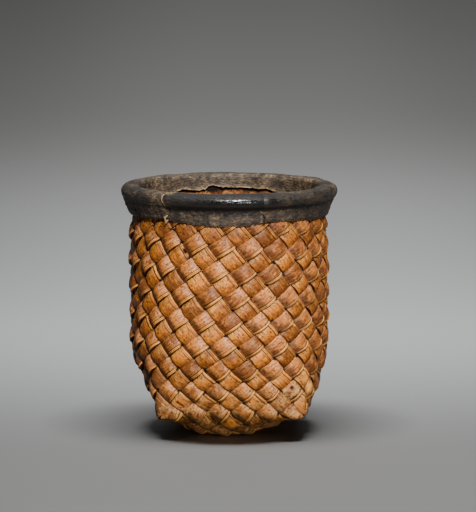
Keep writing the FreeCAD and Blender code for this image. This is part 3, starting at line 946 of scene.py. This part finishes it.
            # A dark scar gets painted shade in its hollow.
            dark = scar.dark * np.clip(1.6 * scar.dent(ahead[:, None], across), 0, 1) * is_face
            marks["groove"] = np.maximum(marks["groove"], dark)
            round_it = (scar.dent(ahead[:, None], across, 1.6) - dark) * is_face
            marks["fold"] = np.maximum(marks["fold"], (0.9 - 0.4 * scar.dark) * round_it)
            if scar.bald:
                from_middle = np.abs(ahead - np.floor(scar.ahead) - 0.5)
                cell = smooth(from_middle, 0.56, 0.48)[:, None] * is_face
                marks["foot"] = np.maximum(marks["foot"], 1.4 * cell)
                marks["fold"] = marks["fold"] * (1 - 0.8 * cell)

    def rib_strength(self, ahead: Array) -> Array:
        """How far the folded edge stands up as ribs: one number for each crossing.

        Args:
            ahead: coordinate along the strip.

        Returns:
            Numbers from about 0.2 to 1.3.
        """
        return np.clip(0.95 + 1.2 * self.cell_tones(ahead + 17), 0.3, 1.4)

    def joined_ribs(self, ahead: Array) -> Array:
        """1 at the crossings whose two ribs are one broad fold, else 0.

        Args:
            ahead: coordinate along the strip.

        Returns:
            Numbers 0 or 1.
        """
        return (self.cell_tones(ahead + 29) > 0.12).astype(float)

    def filled_groove(self, ahead: Array, across: Array) -> Array:
        """1 in the groove between two joined ribs, fading to 0 at its sides.

        Args:
            ahead: coordinate along the strip, one for each ring.
            across: places across the strip.

        Returns:
            Numbers from 0 to 1 for each point.
        """
        middle, side, floor = RIB_GROOVE
        return self.joined_ribs(ahead)[:, None] * smooth(np.abs(across - middle), side, floor)

    @staticmethod
    def flips_skin(rings: Array) -> bool:
        """True if the rings run the wrong way round, by the sign of the skin's volume."""
        here, there = rings[:-1], rings[1:]
        beside = np.roll(here, -1, 1)
        return float(np.sum(here * np.cross(beside, there))) < 0

    def marks(self, ahead: Array, section: Array, is_face: Array, weave: Array,
              points: Array, ribs: Array) -> Dict[str, Array]:
        """Numbers that the finish reads at each point.

        Args:
            ahead: coordinate along the strip, one for each ring.
            section: the strip's section, both faces.
            is_face: True on the section's outer face.
            weave: the weave's height, one for each ring.
            points: points of the middle surface, in millimetres.
            ribs: strength of the ribs, one for each ring.

        Returns:
            Crown, tone, fold, groove, foot, dirt with painted shade, painted shadow under the rim, slash
            and climb for each point.
        """
        shape = points.shape[:2]
        across = section[None, :, 0]
        grid_ahead = np.broadcast_to(ahead[:, None], shape)
        # Painted shade at the corners of each crossing, where four strips meet, darker at some corners
        # than at others.
        edge_tones = self.cell_tones(ahead[:, None] + 0.5 + 11 * np.sign(across))
        corner_shade_strength = 0.12 + 0.7 * smooth(edge_tones, 0.2, 0.45)
        corner = smooth(np.abs(across), 0.55, 1.0) * smooth(np.abs(weave), 0.75, 0.1) * corner_shade_strength
        facing = np.where(is_face[None, :], weave, -weave) - corner
        slant = self.slant(ahead)[:, None]
        # How strong the painted shadow is along each edge and between the ribs: strongest on the edge
        # that lies lower.
        painted_edge_shadow = np.where(across < 0, 0.5 - 0.42 * slant, np.where(across > 0.91, 0.6 + 0.4 * slant,
                                                                 np.clip(ribs, 0.3, 1)))
        painted_edge_shadow = painted_edge_shadow * (1 - self.filled_groove(ahead, across))
        uneven = 0.9 + 0.5 * lattice_noise(ahead * 2.3, 3.3, self.seed + 5)[:, None]
        ripe = 0.3 + 0.7 * smooth(self.height_in_cell(ahead), 0.1, 0.7)[:, None]
        strength = np.clip(ribs * uneven * np.where(slant > 0, ripe, 0.4), 0, 1)
        tide = 1.2 * lattice_noise(grid_ahead * 3, across * 2, 5)
        return {
            # Crown is low where the strip dives under; the finish paints shade there.
            "crown": 0.5 + 0.5 * np.clip(facing, -1, 1),
            "tone": np.broadcast_to(self.cell_tones(ahead)[:, None] + 0.5, shape),
            "fold": np.where(is_face[None, :], section[None, :, 2] * strength, 0.0),
            "groove": np.where(is_face[None, :], section[None, :, 3] * painted_edge_shadow, 0.0),
            "foot": smooth(points[..., 2], 60.0, 8.0),
            # Dirt and painted shadow below the rim, and painted shade on the sides of the basket.
            "grime_and_painted_shade": np.maximum(smooth(points[..., 2], 118.0, 156.0),
                                0.9 * smooth(np.abs(points[..., 0]), 32.0, 62.0)),
            # Painted shadow under the rim leather.
            "painted_rim_shadow": smooth(points[..., 2] + tide, 160.4, 162.6),
            "slash": np.broadcast_to(0.5 + 0.5 * slant, shape),
            "climb": np.broadcast_to(self.height_in_cell(ahead)[:, None], shape),
        }


# Rim


@dataclass(frozen=True)
class RimShape:
    """Section of the rim in millimetres: it leans out, rolls over and goes inside."""

    seat_radius: float = 67.525
    hoop_radius: float = 70.925
    hoop_height: float = 169.85
    cover_radius: float = 3.65
    inner_radius: float = 62.68
    inner_roll: float = 3.2
    leather: float = 1.15
    lap_gap: float = 0.15
    lean_foot: float = 153.6

    @property
    def lean(self) -> float:
        """Lean of the outer skirt, in radians: the tangent from its seat to the hoop."""
        out, rise = self.hoop_radius - self.seat_radius, self.hoop_height - self.lean_foot
        return math.atan(out / rise) + math.asin(self.cover_radius / math.hypot(out, rise))

    def path(self, foot: Array, inner_foot: Array, tucked: Array, share: Array) -> Tuple[Array, Array]:
        """Inner face of the leather, from the outer skirt's edge to the inner one's.

        The path is a skirt, an arc over the hoop, a flat top, an arc towards the mouth
        and a straight inner skirt, each with its own share of the points. The skirt is
        straight, or where it is tucked it keeps to the wall (a sixth power) and then
        to the circle of the hoop.

        Args:
            foot: height of the outer skirt's edge, one for each angle.
            inner_foot: height of the inner skirt's edge, one for each angle.
            tucked: how far the skirt is tucked under the hoop, 0 to 1 for each angle.
            share: places along the path, whole numbers at its joints from 0 to 5.

        Returns:
            Points (angles, places, 2) as radius and height, and outward normals.
        """
        lean, roll = self.lean, self.cover_radius
        out = np.array([math.cos(lean), -math.sin(lean)])
        hoop = np.array([self.hoop_radius, self.hoop_height])
        top = self.hoop_height + self.cover_radius + self.leather
        inner = np.array([self.inner_radius + self.inner_roll, top - self.inner_roll])
        small = self.inner_roll - self.leather
        tangent = hoop + out * roll
        foot_radius = tangent[0] - (tangent[1] - foot) * math.tan(lean)
        feet = np.stack([foot_radius, foot], -1)[:, None, :]
        inner_top = inner + np.array([-small, 0.0])
        inner_feet = np.stack([np.full(len(inner_foot), inner_top[0]), inner_foot], -1)[:, None, :]
        part = [np.clip(share - k, 0, 1)[None, :, None] for k in range(5)]
        angle = -lean + (math.pi / 2 + lean) * part[1]
        turn = math.pi / 2 * (1 + part[3])
        points = feet + (tangent - feet) * part[0]
        points = points + roll * np.concatenate([np.cos(angle) - math.cos(lean),
                                                 np.sin(angle) + math.sin(lean)], -1)
        points = points + (inner + (0, small) - hoop - (0, roll)) * part[2]
        points = points + small * np.concatenate([np.cos(turn), np.sin(turn) - 1], -1)
        points = points + (inner_feet - inner_top) * part[4]
        width = tangent[0] - self.seat_radius
        kept = self.seat_radius + 0.12 * width * share + 0.88 * width * share**6
        drop = np.clip(hoop[1] - points[..., 1], 0, None)
        hugged = hoop[0] + np.sqrt(np.clip(roll**2 - drop**2, 0, None)) - 9 * (drop > roll)
        tuck = (np.maximum(kept[None, :], hugged) - points[..., 0]) * (share < 1)[None, :]
        points[..., 0] += tuck * tucked[:, None]
        facing = np.where(share[None, :, None] < 2.5, angle, turn)
        normals = np.concatenate([np.cos(facing), np.sin(facing)], -1)
        return points, np.broadcast_to(normals, points.shape)


@dataclass
class RimLeather:
    """One length of the rim leather, whose start laps over the other length's end.

    Angles are in degrees from +X. The tables give, by angle, the heights of the outer and
    of the inner edge and how far the skirt is tucked under the hoop. Skive is the share
    of the leather that its ends lose, and seam_bend how far the cut at its start leans.
    """

    node: str
    start: float
    end: float
    foot_by_angle: Tuple[Tuple[float, float], ...]
    inner_by_angle: Tuple[Tuple[float, float], ...]
    tuck_by_angle: Tuple[Tuple[float, float], ...]
    rim: RimShape
    seed: int
    lap: float
    skive: float = 0.75
    seam_bend: float = 0.0
    step_degrees: float = 0.5

    def build(self) -> bpy.types.Object:
        """Builds the leather as a closed sheet round the rim.

        A point is the section's path turned to its angle, moved out by the lap's step,
        by low lumps and by creases that run across the roll.

        Returns:
            The new object.
        """
        rim = self.rim
        count = int((self.end - self.start + self.lap) / self.step_degrees)
        angle = np.linspace(self.start - self.lap, self.end, count)
        share = np.concatenate([np.linspace(0, 1, 26), np.linspace(1, 2, 16)[1:],
                                np.linspace(2, 3, 5)[1:], np.linspace(3, 4, 9)[1:],
                                np.linspace(4, 5, 14)[1:]])
        foot, inner_foot, tucked = (np.interp(angle, *np.array(table).T) for table in
                                    (self.foot_by_angle, self.inner_by_angle, self.tuck_by_angle))
        fray = (0.5 * lattice_noise(angle * 0.9, 0.5, self.seed)
                + 0.25 * lattice_noise(angle * 2.7, 1.5, self.seed))
        tear = (0.5 * lattice_noise(angle * 0.5, 4.5, self.seed)
                + 0.4 * lattice_noise(angle * 1.6, 8.5, self.seed))
        points, normals = rim.path(foot + fray, inner_foot + tear, tucked, share)
        under = rim.leather * (1 - 0.75 * smooth(angle, self.start - 4, self.start))
        lap = ((under + rim.lap_gap) * smooth(angle, self.start + 4, self.start))[:, None]
        low = lattice_noise(angle[:, None] * 0.10, share[None, :] * 1.2, self.seed + 2)
        ridge = 1 - np.abs(lattice_noise(angle[:, None] * 0.45, share[None, :] * 2.6, self.seed + 3))
        fine = 1 - np.abs(lattice_noise(angle[:, None] * 0.9, share[None, :] * 6.0, self.seed + 4))
        on_skirt = smooth(share, 1.0, 0.75)[None, :]
        swell = np.sin(np.pi * np.clip(share / 5, 0, 1))[None, :]
        curl = self.torn(angle)[:, None] * smooth(share, 4.55, 5.0)[None, :]
        near = lap + 0.12 + 0.2 * on_skirt + 0.35 * np.clip(low, 0, None) * swell + 0.6 * curl
        wrinkles = 0.5 * ridge**4 + 0.3 * fine**4
        thinned = 1 - 0.55 * smooth(share, 0.14, 0.0)[None, :]
        ends = np.maximum(smooth(angle, self.start - self.lap + 3, self.start - self.lap),
                          smooth(angle, self.end - 3.85, self.end))
        thinned = thinned * (1 - self.skive * ends[:, None])
        outer = near + rim.leather * thinned + 0.25 * low * swell + wrinkles * (0.15 + 0.85 * on_skirt)
        face = points + normals * outer[..., None]
        back = points + normals * near[..., None]
        loop = np.concatenate([face, back[:, ::-1]], 1)
        bend = 3.2 * smooth(share, 1.5, 2.2) + 1.2 * smooth(share, 1.3, 0.9)
        bend = self.seam_bend * np.concatenate([bend, bend[::-1]])[None, :]
        near_cut = smooth(angle, self.start - self.lap + 9, self.start - self.lap)[:, None]
        turn = np.radians(angle[:, None] + bend * near_cut)
        rings = np.stack([loop[..., 0] * np.cos(turn), loop[..., 0] * np.sin(turn),
                          loop[..., 1]], -1) * MM
        steps = np.linalg.norm(np.diff(face[0], axis=0), axis=-1)
        travel = np.concatenate([[0], np.cumsum(steps)])
        travel = np.concatenate([travel, travel[::-1]]) * MM
        places = np.stack([turn * rim.hoop_radius * MM,
                           np.broadcast_to(travel[None, :], loop.shape[:2])], -1)
        marks = self.marks(angle, share, loop.shape[:2])
        return sleeve_mesh(f"hide_{self.node}", rings[:, ::-1], places[:, ::-1],
                           {key: value[:, ::-1] for key, value in marks.items()})

    def marks(self, angle: Array, share: Array, shape: Tuple[int, int]) -> Dict[str, Array]:
        """Numbers that the finish reads: polish, raw edges and dust.

        Args:
            angle: degrees of each ring.
            share: places along the section.
            shape: rings and points round each.

        Returns:
            The marks for each point.
        """
        both = np.concatenate([share, share[::-1]])[None, :]
        is_face = (np.arange(shape[1]) < len(share))[None, :]
        around = angle[:, None]
        front_grip = np.exp(-((around - 277) / 27) ** 2)
        by_the_lap = 1 - 0.5 * np.exp(-((around - 289.5) / 2.5) ** 2)
        held = front_grip * by_the_lap + 0.5 * np.exp(-((around - 450) / 26) ** 2)
        lower = smooth(both, 0.95, 1.1) * smooth(both, 1.5, 1.36)
        polish = held * np.where(around < 360, lower, smooth(both, 0.7, 1.5) * smooth(both, 3.9, 2.6))
        ragged = smooth(lattice_noise(around * 0.35, 2.5, self.seed + 12), -0.5, 0.5)
        torn_edge = self.torn(around) * smooth(both, 4.82, 4.92) * (0.35 + 0.65 * ragged)
        hem = 0.35 * smooth(both, 0.06, 0.0) + torn_edge
        cut = smooth(angle, self.start - self.lap + 1.1, self.start - self.lap + 0.3)[:, None]
        cut = cut * (smooth(both, 0.4, 0.9) if self.start < 240 else 0.3 * smooth(both, 0.8, 0.4))
        if self.seam_bend:
            # A tan rub on the roll, beside the leaning cut
            rub = 0.45 * smooth(around, self.start + 5, self.start) * smooth(both, 1.55, 1.8)
            cut = np.maximum(cut, rub * smooth(both, 2.6, 2.2))
        cloud = smooth(lattice_noise(around * 0.08, both * 0.8, self.seed + 9), -0.4, 0.6)
        front_roll = np.exp(-((around - 268) / 40) ** 4) * smooth(both, 0.5, 0.75)
        front_roll = front_roll * smooth(both, 2.6, 2.0)
        bleached = smooth(np.abs(around - 450), 85, 50) * smooth(both, 2.0, 2.6)
        dusty = (0.3 + 0.5 * cloud + 0.7 * bleached) * (1 - 0.95 * front_roll)
        return {
            "polish": np.where(is_face, polish, 0.0),
            "raw": np.clip(np.where(is_face, hem + cut, hem), 0, 1) * np.ones(shape),
            "dust": dusty * np.ones(shape),
        }

    @staticmethod
    def torn(angle: Array) -> Array:
        """1 along the torn stretch of the inner edge at the back, else 0."""
        return smooth(angle, 404, 420) * smooth(angle, 498, 488)


@dataclass
class Studio:
    """Pale floor and backdrop with a painted pool of light, soft lights and the photograph's camera."""

    camera_place: Tuple[float, float, float] = (0.0063, -2.144, 0.4168)
    camera_aim: Tuple[float, float, float] = (0.0063, 0.0, 0.1233)
    lens_mm: float = 216.0
    # The paper's colours paint a pool of light behind the basket and its falloff further off.
    paper_near: str = "#949594"
    paper_middle: str = "#E2E4E4"
    paper_far: str = "#7E7E7C"
    paper_end: str = "#4B4B4A"

    def floor(self) -> bpy.types.Object:
        """Builds the paper, which curves up far behind the basket. Its colour paints a pool of light
        behind the basket that falls off towards the front, the far back and the sides.

        Returns:
            The floor.
        """
        run = np.linspace(0, 1, 90)
        rise = np.clip((run - 0.3) / 0.7, 0, 1)
        depth, height = -3.0 + 4.5 * np.clip(run / 0.3, 0, 1) + 5.0 * rise, 2.6 * rise**2.4
        points = [(x, y, z) for x in (-7.0, 7.0) for y, z in zip(depth, height)]
        faces = [(k, k + 90, k + 91, k + 1) for k in range(89)]
        mesh = bpy.data.meshes.new("studio_floor")
        mesh.from_pydata(points, [], faces)
        mesh.polygons.foreach_set("use_smooth", np.ones(89, bool))
        floor = bpy.data.objects.new("studio_floor", mesh)
        bpy.context.scene.collection.objects.link(floor)
        sheet = NodeSheet("studio_paper_painted_light_pool")
        place = sheet.add("SeparateXYZ", Vector=sheet.add("TexCoord").outputs["Object"])
        side_place, depth_place = place.outputs["X"], place.outputs["Y"]
        # Painted pool of light, fading with depth.
        colour = sheet.mix(sheet.grade(depth_place, -0.1, 0.5), srgb(self.paper_near),
                           srgb(self.paper_middle))
        colour = sheet.mix(sheet.grade(depth_place, 0.0, 2.4), colour, srgb(self.paper_far))
        colour = sheet.mix(sheet.grade(depth_place, 1.1, 3.5), colour, srgb(self.paper_end))
        # Painted falloff of the light towards the sides.
        painted_side_falloff = sheet.maths("ADD", sheet.grade(side_place, -0.02, -0.42, 0.0, 0.34),
                             sheet.grade(side_place, 0.12, 0.4, 0.0, 0.2))
        colour = sheet.mix(painted_side_falloff, colour, srgb("#000000"))
        sheet.feed(sheet.shader, "Base_Color", colour)
        sheet.shader.inputs["Roughness"].default_value = 0.9
        mesh.materials.append(sheet.material)
        # The pale paper throws no light up on the basket
        floor.visible_diffuse = False
        return floor

    def light(self, name: str, place: Tuple[float, float, float], size: Tuple[float, float],
              watts: float, aim: Tuple[float, float, float] = (0, 0, 0.09),
              kept_off: Sequence[bpy.types.Object] = ()) -> bpy.types.Object:
        """Adds one soft box.

        Args:
            name: name of the light.
            place: its place in metres.
            size: width and height of the box in metres.
            watts: its power.
            aim: the place that it faces, in metres.
            kept_off: pieces that flags keep this light off.

        Returns:
            The light.
        """
        data = bpy.data.lights.new(name, "AREA")
        data.shape, data.energy = "RECTANGLE", watts
        data.size, data.size_y = size
        lamp = bpy.data.objects.new(name, data)
        lamp.location = place
        lamp.rotation_mode = "QUATERNION"
        lamp.rotation_quaternion = (Vector(aim) - Vector(place)).to_track_quat("-Z", "Y")
        bpy.context.scene.collection.objects.link(lamp)
        if kept_off:
            flags = bpy.data.collections.new(f"{name}_flags")
            for number, piece in enumerate(kept_off):
                flags.objects.link(piece)
                flags.collection_objects[number].light_linking.link_state = "EXCLUDE"
            lamp.light_linking.receiver_collection = flags
        return lamp

    def camera(self) -> bpy.types.Object:
        """Adds the camera at the photograph's angle.

        Returns:
            The camera.
        """
        data = bpy.data.cameras.new("photo_camera")
        data.lens, data.sensor_width = self.lens_mm, 36.0
        data.clip_start, data.clip_end = 0.05, 50.0
        eye = bpy.data.objects.new("photo_camera", data)
        eye.location = self.camera_place
        eye.rotation_mode = "QUATERNION"
        aim = Vector(self.camera_aim) - Vector(self.camera_place)
        eye.rotation_quaternion = aim.to_track_quat("-Z", "Y")
        bpy.context.scene.collection.objects.link(eye)
        bpy.context.scene.camera = eye
        return eye

    def build(self) -> None:
        """Sets up the camera, the floor, the lights and a faint even sky."""
        self.camera()
        floor = self.floor()
        self.light("top_softbox", (0.0, -0.2, 1.45), (0.8, 0.3), 20)
        self.light("front_softbox", (0.24, -1.5, 1.15), (0.4, 0.3), 62, kept_off=[floor])
        self.light("low_fill", (0.5, -1.5, 0.12), (0.3, 0.12), 7, kept_off=[floor])
        self.light("backdrop_softbox", (0.0, 2.2, 2.3), (3.0, 0.8), 80, aim=(0.0, 3.6, 0.4))
        world = bpy.data.worlds.new("studio_air")
        bpy.context.scene.world = world
        world.use_nodes = True
        sky = world.node_tree.nodes["Background"]
        sky.inputs["Color"].default_value = srgb("#C8CCD0")
        sky.inputs["Strength"].default_value = 0.05


@dataclass
class WeddingBasket:
    """The whole basket: 22 plaited strips and the bound rim."""

    shape: PlaitShape = field(default_factory=PlaitShape)
    rim: RimShape = field(default_factory=RimShape)
    seed: int = 11

    def build_strips(self) -> List[bpy.types.Object]:
        """Builds the plait.

        Returns:
            The strips.
        """
        strips = []
        for direction in Direction:
            finish = PalmLeafFinish(f"folded_palm_leaf_{direction.value}").make()
            for number in range(1, self.shape.front_cells + self.shape.side_cells + 1):
                strip = LeafStrip(self.shape, direction, number, self.seed + 100 * number
                                  + (50 if direction is Direction.WEFT else 0))
                piece = strip.build()
                strips.append(dress(piece, finish, [strip.name]))
        return strips

    def build_rim(self) -> List[bpy.types.Object]:
        """Builds the leather and finishes the hoop and the stitches.

        Returns:
            The two lengths of leather.
        """
        hide = RimHideFinish("blackened_rim_hide").make()
        front = RimLeather("rim_leather_front", 235.0, 291.85,
                           ((230, 156.6), (236, 155.2), (248, 153.6), (266, 152.6),
                            (280, 153.4), (292, 154.8)),
                           ((228, 157.0), (293, 157.0)),
                           ((230, 0.55), (237, 1.0), (293, 1.0)), self.rim, 21, 2.6, seam_bend=1.0)
        back = RimLeather("rim_leather_back", 292.0, 594.85,
                          ((288, 155.6), (296, 155.8), (330, 154.2), (360, 153.4),
                           (540, 154.2), (595, 156.4)),
                          ((287, 157.0), (395, 157.4), (412, 161.0), (424, 164.4), (440, 164.6),
                           (455, 164.8), (461, 166.4), (464, 166.2), (466, 163.4), (475, 163.2),
                           (479, 164.2), (484, 164.2), (489, 162.6), (495, 158.0), (595, 157.0)),
                          ((288, 1.0), (315, 0.9), (345, 0.3), (560, 0.0), (595, 0.4)),
                          self.rim, 22, 4.0, skive=0.93)
        pieces = [dress(leather.build(), hide, [leather.node]) for leather in (front, back)]
        rod = PlainFinish("peeled_rod", "#8A6844", "#5E4228", (1.0, 1.0, 9.0), 0.7).make()
        thong = PlainFinish("rawhide_thong", "#A88E68", "#6E5A40", (0.8, 0.8, 0.8), 0.6).make()
        sooty = PlainFinish("blackened_thong", "#4A3C2C", "#2A2018", (0.8, 0.8, 0.8), 0.6).make()
        finishes = {"rim_hoop": rod, "lap_stitch_left": thong, "lap_stitch_right": sooty}
        for node, material in finishes.items():
            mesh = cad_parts[node].data
            mesh.materials.clear()
            mesh.materials.append(material)
        return pieces


def main() -> None:
    """Builds the studio and the basket, and logs each piece."""
    logging.basicConfig(level=logging.INFO, format="%(name)s: %(message)s")
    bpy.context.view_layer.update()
    Studio().build()
    basket = WeddingBasket()
    basket.build_strips()
    basket.build_rim()


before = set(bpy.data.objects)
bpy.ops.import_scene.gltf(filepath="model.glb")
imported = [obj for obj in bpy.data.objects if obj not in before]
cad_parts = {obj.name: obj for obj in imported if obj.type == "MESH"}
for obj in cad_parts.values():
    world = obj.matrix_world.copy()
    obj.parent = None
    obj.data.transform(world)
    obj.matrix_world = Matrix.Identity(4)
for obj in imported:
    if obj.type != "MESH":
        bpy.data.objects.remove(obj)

if __name__ == "__main__":
    main()
